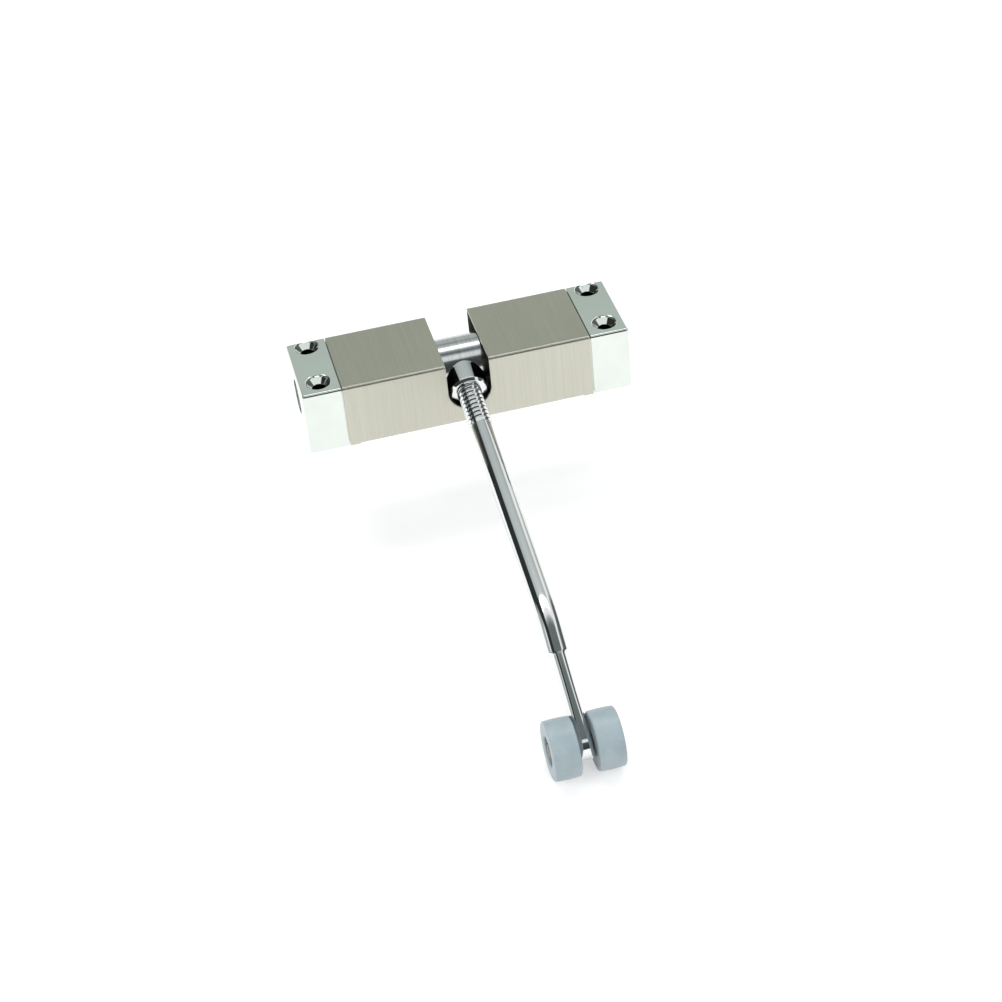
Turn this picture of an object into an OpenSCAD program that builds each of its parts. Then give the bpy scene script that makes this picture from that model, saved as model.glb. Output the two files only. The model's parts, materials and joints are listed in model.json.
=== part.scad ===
// Small surface-mounted spring door closer with a cranked roller arm.
// Origin: centre of the mounting face. X runs along the body, the arm points to -Y, +Z is up
// out of the mounting face. The arm is drawn at rest, on its front stop.

/* [Body] */
// Overall length of the body, over both end caps
body_l = 96; // [80:1:140]
// Depth of the body, front to back
body_d = 28; // [26:0.5:40]
// Height of the body above the mounting face
body_h = 20; // [19.5:0.5:30]
// Length of each end cap that shows outside the cover
cap_l = 11.6; // [10.5:0.1:18]
// Radius on the long top edges of the cover and caps
edge_r = 0.9; // [0.7:0.1:2]
// Radius on the outer corners of the end caps
corner_r = 0.8; // [0.4:0.1:2]

/* [Cover] */
// Thickness of the stainless sheet
sheet_t = 0.6; // [0.5:0.1:1.2]
// Width of the slot that the arm swings in
slot_w = 12.7; // [12.4:0.1:16]
// Length of the small feet at each end of the cover walls
foot_l = 3; // [2:0.5:8]
// How far the wall edge stands above the mounting face between the feet
foot_h = 0.3; // [0.1:0.1:1]

/* [Mounting holes] */
// Diameter of the countersunk screw holes in the caps
hole_d = 4; // [3.2:0.1:4.4]
// Diameter of the countersinks at the top face
sink_d = 7; // [6:0.1:8]
// Depth of the straight lip above each countersink's cone
sink_lip = 0.5; // [0.2:0.1:0.8]
// Distance of the holes from the end of the body
hole_inset = 5.7; // [5:0.1:6.5]
// Spacing of the two holes in one cap, front to back
hole_pitch = 18.7; // [18.5:0.1:22]
// How far the pair of holes sits behind the middle of the body
hole_shift = 1.2; // [0:0.1:1.2]

/* [Base plate] */
// Thickness of the base plate
plate_t = 1.5; // [1:0.1:2]
// Width of the tongues that reach under the caps
tongue_w = 10.4; // [9.6:0.1:11]
// How far each tongue reaches under its cap
tongue_l = 6; // [5.6:0.1:7]
// Thread diameter of the cap screws
cap_screw_d = 2.5; // [2:0.1:3]
// Length of the cap screws
cap_screw_l = 4.8; // [4:0.1:5.2]

/* [Spindle and springs] */
// Half length of the thick middle barrel
barrel_half = 11; // [9:0.5:14]
// Gap between the barrel and the cover top
top_gap = 0.4; // [0.3:0.1:1]
// Gap between the barrel and the base plate
floor_gap = 1.5; // [1.2:0.1:3]
// Diameter of the necks that carry the springs
neck_d = 8; // [6.6:0.2:9]
// Diameter of the end journals
journal_d = 6; // [5:0.2:6.4]
// Length of each journal
journal_l = 6; // [4:0.5:8]
// Wire diameter of the torsion springs
wire_d = 1.8; // [1.2:0.1:2]
// Mean coil diameter of the torsion springs
coil_d = 12.4; // [11.4:0.2:13]
// Across-flats size of the adjuster's hex socket
key_af = 5; // [4:0.5:5.5]
// Diameter of the anchor and the adjuster where they sit in the caps
plug_d = 10; // [9.4:0.1:10.4]
// Thickness of the flange that holds a spring's leg
flange_t = 1.6; // [1.2:0.1:3]
// Diameter of the adjuster's locking screw
lock_d = 3; // [2.5:0.5:3]

/* [Arm] */
// How far the arm points below the mounting plane at rest, in degrees
rest_angle = 11.7; // [8:0.1:13]
// Distance from the spindle axis to the bend
arm_reach = 97; // [60:1:160]
// Angle of the bend
bend_angle = 17.7; // [0:0.1:35]
// Distance from the bend to the roller axle
leg_l = 36.4; // [28:0.2:60]
// Diameter of the plain rod
rod_d = 6.2; // [5:0.1:6.6]
// Outer diameter of the screw thread
thread_d = 6.9; // [6.6:0.1:7.4]
// Visible length of the thread
thread_l = 14; // [8:0.5:30]
// Thread pitch
thread_pitch = 1.6; // [1:0.1:2]
// Diameter of the round collar on the spindle
collar_d = 12; // [11:0.1:12.1]
// How far inside the cover's front wall the collar ends
collar_back = 0.4; // [0.2:0.1:2]
// Thickness of the flattened end
blade_t = 4.4; // [3.6:0.1:5]
// Distance from the bend to where the flattening begins
blade_from = 11; // [6:0.5:14]
// Radius of the eye around the axle
eye_r = 4.3; // [3.6:0.1:6]

/* [Rollers] */
// Roller diameter
roller_d = 16.3; // [13:0.1:22]
// Width of one roller
roller_w = 7.25; // [6:0.05:12]
// Axle diameter
axle_d = 4; // [3:0.1:5]
// Diameter of the recess in a roller's outer face
recess_d = 8.2; // [7.8:0.1:11]
// Depth of that recess
recess_h = 1.7; // [1.6:0.1:2.4]
// Chamfer on the roller's edges
roller_edge = 0.5; // [0.2:0.1:1]

/* [Fits] */
// Gap between parts that sit still against each other
sit_gap = 0.1; // [0.05:0.01:0.2]
// Radial clearance of a running fit
run_gap = 0.05; // [0.02:0.01:0.1]
// Radial clearance of a pressed or screwed fit
press_gap = 0.02; // [0.01:0.01:0.05]
// Side clearance of a roller beside the arm
side_gap = 0.15; // [0.1:0.01:0.4]
// Clearance of the arm above the slot's floor at rest
stop_gap = 0.28; // [0.2:0.01:0.6]

/* [Hidden] */

STEEL = "silver";
CHROME = "gainsboro";
BRUSHED = "darkgray";
BRONZE = "peru";
PLASTIC = "lightsteelblue";
$fn = 96;

over = 1; // extra length of a cutter past the face it opens

// Where the cover ends and the caps begin, and the cap's shoulder inside the cover
cover_half = body_l / 2 - cap_l;
shoulder_l = 2.5;
shoulder_x = cover_half - shoulder_l;
inner_y = body_d / 2 - sheet_t;
inner_z = body_h - sheet_t;

// The spindle fills the height between the base plate and the cover
barrel_r = (body_h - sheet_t - top_gap - plate_t - floor_gap) / 2;
axis_z = plate_t + floor_gap + barrel_r;
barrel_edge = 0.4;

// Spring plugs: body in the cap, flange against the shoulder, bush inside
flange_r = coil_d / 2 + wire_d / 2 + 0.3;
flange_x = shoulder_x - sit_gap - flange_t;
bush_wall = 1.2;
bush_r = journal_d / 2 + run_gap + bush_wall;
leg_hole_r = wire_d / 2 + 0.1;
leg_depth = 2.6;
anchor_set = 1.5; // pressed anchor's end below the cap's end face
face_set = 0.4; // adjuster's face below the cap's end face
key_depth = 5;
lock_inset = 2.7;
groove_w = lock_d + 0.4;
groove_r = plug_d / 2 - 0.6;

// Springs
coil_from = barrel_half + 1.2;
coil_to = flange_x - 1.2;
coil_len = coil_to - coil_from;
coil_turns = floor(coil_len / (wire_d + 0.3));
leg_bend = 1.2;
wire_sides = 8;
turn_steps = 20;

// Arm
thread_r = thread_d / 2;
thread_depth = 0.5;
collar_r = collar_d / 2;
collar_reach = inner_y - collar_back;
collar_edge = 0.75;
thread_to = collar_reach + thread_l;
rod_wall = 0.9; // barrel wall left behind the rod's blind hole
knuckle_gap = rod_d / 2 * tan(bend_angle / 2) + 0.1; // the two straights stop this short of the bend
knuckle_r = norm([rod_d / 2, knuckle_gap]) + 0.05;
blade_root = sqrt(pow(rod_d / 2 - 0.15, 2) - pow(blade_t / 2, 2)); // half height inside the round rod
slot_floor = axis_z - body_d / 2 * tan(rest_angle) - thread_r / cos(rest_angle) - stop_gap;

// Rollers
roller_x = blade_t / 2 + side_gap;
roller_out = roller_x + roller_w;
recess_x = roller_out - recess_h;
washer_t = 0.5;
washer_r = recess_d / 2 - 0.5;
washer_x = recess_x + sit_gap;
clip_t = 0.5;
clip_r = axle_d / 2 + 1.3;
clip_x = washer_x + washer_t + sit_gap;
clip_groove_r = axle_d / 2 - 0.5;
axle_half = clip_x + clip_t + 0.4;

// Cap screws
cap_screw_x = cover_half + tongue_l / 2;
cap_screw_y = tongue_w / 4;
cap_head_r = cap_screw_d / 2 + 0.95;

// ---- shared shapes ----

// Round bar along X, on the X axis
module bar_x(from, to, r) {
    translate([from, 0, 0]) rotate([0, 90, 0]) cylinder(h = to - from, r = r);
}

// Round bar pointing along -Y from the origin of the arm's frame
module bar_arm(from, to, r) {
    translate([0, -from, 0]) rotate([90, 0, 0]) cylinder(h = to - from, r = r);
}

// Solid turned from a profile of [radius, distance] points, along -Y
module turned_arm(profile) {
    rotate([90, 0, 0]) rotate_extrude() polygon(profile);
}

// Solid turned from a profile of [radius, distance] points, along +X
module turned_x(profile) {
    rotate([0, 90, 0]) rotate_extrude() polygon(profile);
}

// Outline in Y and Z pushed out along X
module slab_x(from, to) {
    translate([from, 0, 0]) rotate([90, 0, 90]) linear_extrude(to - from) children();
}

// Rectangle from a to b whose four corners have their own radii, going round from the corner at a
module soft_rect(a, b, radii) {
    corners = [a, [b[0], a[1]], b, [a[0], b[1]]];
    inward = [[1, 1], [-1, 1], [-1, -1], [1, -1]];
    polygon([for (i = [0:3]) each [
        corners[i] + radii[i] * [i % 2 == 0 ? 0 : inward[i][0], i % 2 == 0 ? inward[i][1] : 0],
        corners[i] + radii[i] * [i % 2 == 0 ? inward[i][0] : 0, i % 2 == 0 ? 0 : inward[i][1]]
    ]]);
    for (i = [0:3]) if (radii[i] > 0) {
        translate(corners[i] + radii[i] * inward[i]) circle(r = radii[i]);
    }
}

// Puts its children on the spindle's axis
module on_axis() {
    translate([0, 0, axis_z]) children();
}

// The arm's frame: origin on the spindle axis, -Y along the rod
module arm_frame() {
    on_axis() rotate([rest_angle, 0, 0]) children();
}

// The leg's frame: origin at the bend, -Y towards the axle
module leg_frame() {
    arm_frame() translate([0, -arm_reach, 0]) rotate([bend_angle, 0, 0]) children();
}

// The axle's frame: X along the axle
module axle_frame() {
    leg_frame() translate([0, -leg_l, 0]) children();
}

// ---- body ----

module cover_profile() {
    low = -over;
    difference() {
        soft_rect([-body_d / 2, low], [body_d / 2, body_h], [0, 0, edge_r, edge_r]);
        soft_rect([-inner_y, low - over], [inner_y, inner_z], [0, 0, edge_r - sheet_t, edge_r - sheet_t]);
    }
}

module cover() {
    color(BRUSHED) difference() {
        slab_x(-cover_half + sit_gap / 2, cover_half - sit_gap / 2) cover_profile();
        // bottom edge, with a foot left at each end
        translate([-body_l / 2, -body_d, -2 * over]) cube([body_l, 2 * body_d, 2 * over]);
        translate([-cover_half + foot_l, -body_d, -over])
            cube([2 * (cover_half - foot_l), 2 * body_d, over + foot_h]);
        // slot over the top and down both walls, with a round floor
        translate([-slot_w / 2, -body_d, slot_floor + slot_w / 2]) cube([slot_w, 2 * body_d, body_h]);
        translate([0, body_d, slot_floor + slot_w / 2]) rotate([90, 0, 0])
            cylinder(h = 2 * body_d, r = slot_w / 2);
    }
}

// Everything that both caps share, drawn for the right end
module cap_blank() {
    foot_r = 0.3;
    intersection() {
        slab_x(cover_half, body_l / 2)
            soft_rect([-body_d / 2, 0], [body_d / 2, body_h], [foot_r, foot_r, edge_r, edge_r]);
        translate([0, 0, -over]) linear_extrude(body_h + 2 * over)
            soft_rect([0, -body_d / 2], [body_l / 2, body_d / 2], [0, corner_r, corner_r, 0]);
    }
    slab_x(shoulder_x, cover_half + over)
        soft_rect([-inner_y + sit_gap, plate_t + sit_gap], [inner_y - sit_gap, inner_z - sit_gap],
            [0, 0, edge_r - sheet_t, edge_r - sheet_t]);
}

// Mounting holes, recess for the tongue and holes for the cap screws
module cap_cuts() {
    for (side = [-1, 1]) translate([body_l / 2 - hole_inset, hole_shift + side * hole_pitch / 2, 0]) {
        translate([0, 0, -over]) cylinder(h = body_h + 2 * over, d = hole_d);
        translate([0, 0, body_h - sink_lip - (sink_d - hole_d) / 2])
            cylinder(h = (sink_d - hole_d) / 2, d1 = hole_d, d2 = sink_d);
        translate([0, 0, body_h - sink_lip]) cylinder(h = sink_lip + over, d = sink_d);
    }
    translate([cover_half - over, -tongue_w / 2 - sit_gap, -over])
        cube([tongue_l + sit_gap + over, tongue_w + 2 * sit_gap, plate_t + sit_gap + over]);
    for (side = [-1, 1]) translate([cap_screw_x, side * cap_screw_y, 0])
        cylinder(h = cap_screw_l + 0.2, d = cap_screw_d + 2 * press_gap);
}

module left_end_cap() {
    color(CHROME) mirror([1, 0, 0]) difference() {
        cap_blank();
        cap_cuts();
        on_axis() bar_x(shoulder_x - over, body_l / 2 + over, plug_d / 2 + press_gap);
    }
}

module right_end_cap() {
    color(CHROME) difference() {
        cap_blank();
        cap_cuts();
        on_axis() bar_x(shoulder_x - over, body_l / 2 + over, plug_d / 2 + run_gap);
        translate([body_l / 2 - lock_inset, 0, -over])
            cylinder(h = axis_z - plug_d / 2 + 2 * over, d = lock_d + 2 * press_gap);
    }
}

module base_plate() {
    color(STEEL) difference() {
        union() {
            translate([-cover_half + sit_gap, -inner_y + sit_gap, 0])
                cube([2 * (cover_half - sit_gap), 2 * (inner_y - sit_gap), plate_t]);
            translate([-cover_half - tongue_l, -tongue_w / 2, 0])
                cube([2 * (cover_half + tongue_l), tongue_w, plate_t]);
        }
        for (end = [-1, 1], side = [-1, 1]) translate([end * cap_screw_x, side * cap_screw_y, 0]) {
            translate([0, 0, -over]) cylinder(h = plate_t + 2 * over, d = cap_screw_d + 2 * sit_gap);
            cap_head_cone(sit_gap);
        }
    }
}

// Countersunk head of a cap screw, flush with the plate's underside
module cap_head_cone(gap) {
    translate([0, 0, -gap])
        cylinder(h = cap_head_r - cap_screw_d / 2 + gap, r1 = cap_head_r + gap, r2 = cap_screw_d / 2);
}

module cap_screw() {
    difference() {
        union() {
            cap_head_cone(0);
            cylinder(h = cap_screw_l, d = cap_screw_d);
        }
        // cross recess
        for (turn = [0, 90]) rotate([0, 0, turn]) translate([-1.2, -0.25, -over]) cube([2.4, 0.5, over + 0.7]);
    }
}

module left_cap_screws() {
    color(STEEL) for (side = [-1, 1]) translate([-cap_screw_x, side * cap_screw_y, 0]) cap_screw();
}

module right_cap_screws() {
    color(STEEL) for (side = [-1, 1]) translate([cap_screw_x, side * cap_screw_y, 0]) cap_screw();
}

// ---- spring ends ----

// Flanged plug with a blind bore for its bush and a hole for the spring's leg
module spring_plug(end_x) {
    difference() {
        union() {
            bar_x(flange_x, end_x, plug_d / 2);
            bar_x(flange_x, flange_x + flange_t, flange_r);
        }
        bar_x(flange_x - over, flange_x + journal_l, bush_r + press_gap);
        translate([0, 0, coil_d / 2]) bar_x(flange_x - over, flange_x + flange_t + over, leg_hole_r);
    }
}

module spring_anchor() {
    color(STEEL) on_axis() mirror([1, 0, 0]) spring_plug(body_l / 2 - anchor_set);
}

module tension_adjuster() {
    face_x = body_l / 2 - face_set;
    groove_x = body_l / 2 - lock_inset - groove_w / 2;
    color(STEEL) on_axis() difference() {
        spring_plug(face_x);
        translate([face_x - key_depth, 0, 0]) rotate([0, 90, 0])
            cylinder(h = key_depth + over, d = key_af / cos(30), $fn = 6);
        turned_x([[groove_r, groove_x], [plug_d, groove_x],
            [plug_d, groove_x + groove_w], [groove_r, groove_x + groove_w]]);
    }
}

module adjuster_lock_screw() {
    tip_z = axis_z - groove_r - run_gap;
    color(STEEL) translate([body_l / 2 - lock_inset, 0, 0]) difference() {
        translate([0, 0, 0.8]) cylinder(h = tip_z - 0.8, d = lock_d);
        cylinder(h = 2.6, d = 1.5 / cos(30), $fn = 6);
    }
}

module bush() {
    on_axis() difference() {
        bar_x(flange_x, flange_x + journal_l - sit_gap, bush_r);
        bar_x(flange_x - over, flange_x + journal_l + over, journal_d / 2 + run_gap);
    }
}

module left_bush() {
    color(BRONZE) mirror([1, 0, 0]) bush();
}

module right_bush() {
    color(BRONZE) bush();
}

// ---- spindle and springs ----

module spindle() {
    shoulder = flange_x - 2 * sit_gap;
    tip = flange_x + journal_l - 3 * sit_gap;
    color(STEEL) difference() {
        on_axis() turned_x([
            [0, -tip], [journal_d / 2, -tip], [journal_d / 2, -shoulder], [neck_d / 2, -shoulder],
            [neck_d / 2, -barrel_half], [barrel_r - barrel_edge, -barrel_half],
            [barrel_r, -barrel_half + barrel_edge], [barrel_r, barrel_half - barrel_edge],
            [barrel_r - barrel_edge, barrel_half], [neck_d / 2, barrel_half],
            [neck_d / 2, shoulder], [journal_d / 2, shoulder], [journal_d / 2, tip], [0, tip]
        ]);
        arm_frame() bar_arm(-barrel_r + rod_wall, barrel_r + over, thread_r + press_gap);
        for (end = [-1, 1]) on_axis() translate([end * barrel_half, 0, coil_d / 2])
            bar_x(-leg_depth, leg_depth, leg_hole_r);
    }
}

// Wire swept along the coils, with a straight leg at each end, built as rings round its centre line
module torsion_spring() {
    radius = coil_d / 2;
    round = 360 * coil_turns;
    steps = coil_turns * turn_steps;
    bend_turn = leg_bend / radius * 180 / PI;
    // start leg, start bend, coils, end bend and end leg as [x, angle]
    path = concat(
        [[barrel_half - leg_depth + sit_gap, 0]],
        [for (i = [0:4]) [coil_from - leg_bend * (1 - sin(22.5 * i)), bend_turn * (1 - cos(22.5 * i))]],
        [for (i = [1:steps - 1]) let (t = i / steps)
            [coil_from + t * coil_len, bend_turn + t * (round - 2 * bend_turn)]],
        [for (i = [4:-1:0]) [coil_to + leg_bend * (1 - sin(22.5 * i)), round - bend_turn * (1 - cos(22.5 * i))]],
        [[flange_x + flange_t - sit_gap, round]]
    );
    count = len(path);
    place = [for (p = path) [p[0], radius * sin(p[1]), radius * cos(p[1])]];
    rings = [for (i = [0:count - 1]) let (
            ahead = place[min(i + 1, count - 1)] - place[max(i - 1, 0)],
            along = ahead / norm(ahead),
            out = [0, sin(path[i][1]), cos(path[i][1])],
            side_raw = cross(along, out),
            side = side_raw / norm(side_raw),
            top = cross(side, along))
        [for (k = [0:wire_sides - 1]) let (a = 360 * k / wire_sides)
            place[i] + wire_d / 2 * (cos(a) * top + sin(a) * side)]];
    points = [for (ring = rings) each ring];
    faces = concat(
        [[for (k = [0:wire_sides - 1]) k]],
        [for (i = [0:count - 2], k = [0:wire_sides - 1])
            let (n = (k + 1) % wire_sides, a = i * wire_sides, b = a + wire_sides)
                each [[a + k, b + k, b + n], [a + k, b + n, a + n]]],
        [[for (k = [wire_sides - 1:-1:0]) (count - 1) * wire_sides + k]]
    );
    on_axis() polyhedron(points = points, faces = faces, convexity = 10);
}

module left_torsion_spring() {
    color(STEEL) mirror([1, 0, 0]) torsion_spring();
}

module right_torsion_spring() {
    color(STEEL) torsion_spring();
}

// ---- arm ----

module arm_collar() {
    root = barrel_r - 3;
    color(CHROME) difference() {
        arm_frame() turned_arm([
            [thread_r + press_gap, root], [collar_r, root], [collar_r, collar_reach - collar_edge],
            [collar_r - collar_edge, collar_reach], [thread_r + press_gap, collar_reach]
        ]);
        on_axis() bar_x(-collar_d, collar_d, barrel_r + press_gap);
    }
}

// Thread as evenly spaced ridges
module thread_ridges() {
    ridges = floor(thread_l / thread_pitch);
    core = thread_r - thread_depth;
    turned_arm(concat(
        [[0, collar_reach], [core, collar_reach]],
        [for (i = [0:ridges - 1]) let (s = collar_reach + i * thread_pitch)
            each [[core, s + 0.2], [thread_r, s + thread_pitch / 2], [core, s + thread_pitch - 0.1]]],
        [[core, thread_to], [0, thread_to]]
    ));
}

// Two straights joined by a ball at the bend, with a flattened eye for the axle
module arm_rod() {
    color(CHROME) difference() {
        union() {
            arm_frame() {
                bar_arm(-barrel_r + rod_wall + sit_gap, collar_reach, thread_r);
                thread_ridges();
                bar_arm(thread_to, arm_reach - knuckle_gap, rod_d / 2);
            }
            leg_frame() {
                sphere(r = knuckle_r);
                bar_arm(knuckle_gap, blade_from, rod_d / 2);
                slab_x(-blade_t / 2, blade_t / 2) {
                    polygon([[-blade_from + 2, blade_root], [-blade_from, rod_d / 2], [-leg_l, eye_r],
                        [-leg_l, -eye_r], [-blade_from, -rod_d / 2], [-blade_from + 2, -blade_root]]);
                    translate([-leg_l, 0]) circle(r = eye_r);
                }
            }
        }
        axle_frame() bar_x(-blade_t, blade_t, axle_d / 2 + press_gap);
    }
}

// ---- rollers ----

module roller_axle() {
    half = [
        [clip_x - sit_gap / 2, clip_x + clip_t + sit_gap / 2],
        [-clip_x - clip_t - sit_gap / 2, -clip_x + sit_gap / 2]
    ];
    color(STEEL) axle_frame() difference() {
        bar_x(-axle_half, axle_half, axle_d / 2);
        for (g = half) turned_x([[clip_groove_r, g[0]], [axle_d, g[0]], [axle_d, g[1]], [clip_groove_r, g[1]]]);
    }
}

module roller() {
    axle_frame() turned_x([
        [axle_d / 2 + run_gap, roller_x], [roller_d / 2 - roller_edge, roller_x],
        [roller_d / 2, roller_x + roller_edge], [roller_d / 2, roller_out - roller_edge],
        [roller_d / 2 - roller_edge, roller_out], [recess_d / 2, roller_out],
        [recess_d / 2, recess_x], [axle_d / 2 + run_gap, recess_x]
    ]);
}

module left_roller() {
    color(PLASTIC) mirror([1, 0, 0]) roller();
}

module right_roller() {
    color(PLASTIC) roller();
}

module axle_washer() {
    axle_frame() difference() {
        bar_x(washer_x, washer_x + washer_t, washer_r);
        bar_x(washer_x - over, washer_x + washer_t + over, axle_d / 2 + press_gap);
    }
}

module left_axle_washer() {
    color(STEEL) mirror([1, 0, 0]) axle_washer();
}

module right_axle_washer() {
    color(STEEL) axle_washer();
}

// Open retaining ring that snaps into the axle's groove
module axle_clip() {
    axle_frame() difference() {
        bar_x(clip_x, clip_x + clip_t, clip_r);
        bar_x(clip_x - over, clip_x + clip_t + over, clip_groove_r + press_gap);
        translate([clip_x - over, -clip_groove_r, -clip_r - over])
            cube([clip_t + 2 * over, 2 * clip_groove_r, clip_r + over]);
    }
}

module left_axle_clip() {
    color(STEEL) mirror([1, 0, 0]) axle_clip();
}

module right_axle_clip() {
    color(STEEL) axle_clip();
}

cover();
left_end_cap();
right_end_cap();
base_plate();
left_cap_screws();
right_cap_screws();
spring_anchor();
left_bush();
right_bush();
tension_adjuster();
adjuster_lock_screw();
spindle();
left_torsion_spring();
right_torsion_spring();
arm_collar();
arm_rod();
roller_axle();
left_roller();
right_roller();
left_axle_washer();
right_axle_washer();
left_axle_clip();
right_axle_clip();
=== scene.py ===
"""Looks of a small spring door closer: a slotted stainless cover between two plated end caps,
a turned spindle, a cranked plated arm with a cut thread, and a pair of nylon rollers."""
import json
import math

import bmesh
import bpy
import numpy as np
from mathutils import Matrix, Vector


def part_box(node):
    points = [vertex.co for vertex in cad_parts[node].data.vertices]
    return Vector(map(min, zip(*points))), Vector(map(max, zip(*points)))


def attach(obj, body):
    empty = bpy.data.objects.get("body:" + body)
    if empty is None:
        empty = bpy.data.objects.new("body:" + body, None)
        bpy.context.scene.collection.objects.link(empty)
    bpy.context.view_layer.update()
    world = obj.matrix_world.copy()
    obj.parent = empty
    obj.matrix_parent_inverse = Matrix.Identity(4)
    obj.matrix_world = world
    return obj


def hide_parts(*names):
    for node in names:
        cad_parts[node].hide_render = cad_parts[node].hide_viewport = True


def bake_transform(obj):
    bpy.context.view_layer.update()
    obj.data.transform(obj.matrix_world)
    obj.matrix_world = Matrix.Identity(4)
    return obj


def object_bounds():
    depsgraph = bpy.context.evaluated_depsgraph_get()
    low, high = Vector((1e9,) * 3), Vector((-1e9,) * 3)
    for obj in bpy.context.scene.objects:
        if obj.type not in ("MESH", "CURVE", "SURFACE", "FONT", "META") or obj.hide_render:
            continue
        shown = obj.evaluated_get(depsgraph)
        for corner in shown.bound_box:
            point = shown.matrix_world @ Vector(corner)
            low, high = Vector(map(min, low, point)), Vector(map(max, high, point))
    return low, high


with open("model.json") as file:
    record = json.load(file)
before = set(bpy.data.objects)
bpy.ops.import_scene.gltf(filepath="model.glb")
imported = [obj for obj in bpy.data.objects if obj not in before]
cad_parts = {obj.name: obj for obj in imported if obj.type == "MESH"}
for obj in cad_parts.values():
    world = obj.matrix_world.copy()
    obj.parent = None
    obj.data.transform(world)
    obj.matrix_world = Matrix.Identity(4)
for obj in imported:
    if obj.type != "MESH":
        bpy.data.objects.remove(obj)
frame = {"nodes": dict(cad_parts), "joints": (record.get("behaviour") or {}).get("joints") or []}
CAD_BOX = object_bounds()

MM = 0.001
NODES = frame["nodes"]
JOINTS = {joint["name"]: joint for joint in frame["joints"]}


def corner(node, which):
    """Lowest (0) or highest (1) corner of a CAD node, in millimetres."""
    return np.array(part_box(node)[which]) / MM


def pivot(joint):
    """A joint's place in millimetres."""
    return np.array(JOINTS[joint]["pos_m"]) / MM


# ---- sizes, in millimetres ----

SIT_GAP, RUN_GAP = 0.1, 0.05  # clearance of a piece that sits in another, and of a running fit
TRIM = 0.02  # how far inside its CAD solid a thin round piece is drawn

HALF_LENGTH, HALF_DEPTH, HEIGHT = corner("right_end_cap", 1)
COVER_HALF = corner("cover", 1)[0]
SHEET, EDGE_RADIUS = 0.6, 0.9
AXIS = pivot("arm_swing")
AXLE = (pivot("left_roller_spin") + pivot("right_roller_spin")) / 2

SLOT_HALF = 6.35
SLOT_CENTRE_Z = 10.65
FOOT = (3.0, 0.3)  # length and height of the feet at the ends of the cover's walls

SEAM = 0.28  # between the cover's end and the cap
CAP_START = COVER_HALF + SEAM
SHOULDER_START = corner("right_end_cap", 0)[0]
SHOULDER_DROP, PLATE_ROOM = 0.5, 1.6  # shoulder below the sheet; room for the base plate under it
HOLE_RADIUS, SINK_RADIUS = 2.0, 3.5
HOLE_INSET, HOLE_PITCH, HOLE_SHIFT = 5.7, 18.7, 1.2
SINK_FOOT, SINK_LIP, SINK_ROLL = 2.05, 0.55, 0.15  # below the top: foot and lip of the cone, rolled rim
TONGUE_HALF, TONGUE_REACH = 5.3, 6.1  # recess for the base plate's tongue
LOCK_RADIUS, LOCK_DEPTH, LOCK_INSET = 1.52, 6.5, 2.7  # hole for the lock screw
OVERCUT = 1.0  # how far a cutter runs past the metal

BARREL_RADIUS = corner("spindle", 1)[2] - AXIS[2]
BARREL_HALF = 11.0
NECK_RADIUS, JOURNAL_RADIUS, JOURNAL_LENGTH = 4.0, 3.0, 5.9
PLUG_RADIUS = 5.0

REST_ANGLE = math.radians(11.7)
BEND_ANGLE = math.radians(17.7)
BEND_AT = 97.0
BEND_RADIUS = 34.0
LEG = 36.4
ROD_RADIUS = 3.1
THREAD_RADIUS, THREAD_DEPTH, THREAD_PITCH = 3.45, 0.5, 1.6
THREAD_LENGTH = 14.0
THREAD_HIDDEN, THREAD_RUN_OUT = 0.4, 1.6  # thread inside the collar; length of its fading end
ROD_BACK = 7.0  # how far the rod's hidden end lies behind the spindle's axis
COLLAR_RADIUS, COLLAR_END = 6.0, 13.0
COLLAR_CHAMFER, COLLAR_BORE = 0.75, 3.0  # chamfer at its free end; drawn depth of its threaded hole
BLADE_HALF, BLADE_FROM, EYE_RADIUS = 2.2, 11.0, 4.3
SQUARE_AT_ROOT, SQUARE_TO_EYE = 0.06, 0.3  # how far the blade's section leaves an ellipse

ROLLER_RADIUS = corner("right_roller", 1)[2] - AXLE[2]
ROLLER_IN, ROLLER_OUT = corner("right_roller", 0)[0], corner("right_roller", 1)[0]
AXLE_RADIUS, AXLE_HALF = 2.0, corner("roller_axle", 1)[0]
RECESS_RADIUS, RECESS_DEPTH = 4.1, 1.7
HUB_WIDTH, RIM_WIDTH = 1.6, 1.35  # raised rings on the inner face, round the bore and at the tread
FACE_RELIEF, CROWN = 0.12, 0.16  # depth of the inner face between them; rise of the tread's middle
PIN_GROOVE, PIN_CHAMFER = 0.5, 0.3  # depth of a clip's groove; chamfer of the pin's ends

CLIP_GAP = math.radians(34)  # half the clip's opening
CLIP_SEAT, CLIP_RELIEF, CLIP_EDGE = 1.54, 2.15, 0.08  # radii at the seats and between; broken edge

COIL_RADIUS, WIRE_RADIUS, COIL_GAP = 6.2, 0.9, 0.3
LEG_BEND, LEG_OUTER = 1.2, 2.7  # radius of the bend into a leg; length of the outer leg

# ---- surfaces ----


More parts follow.
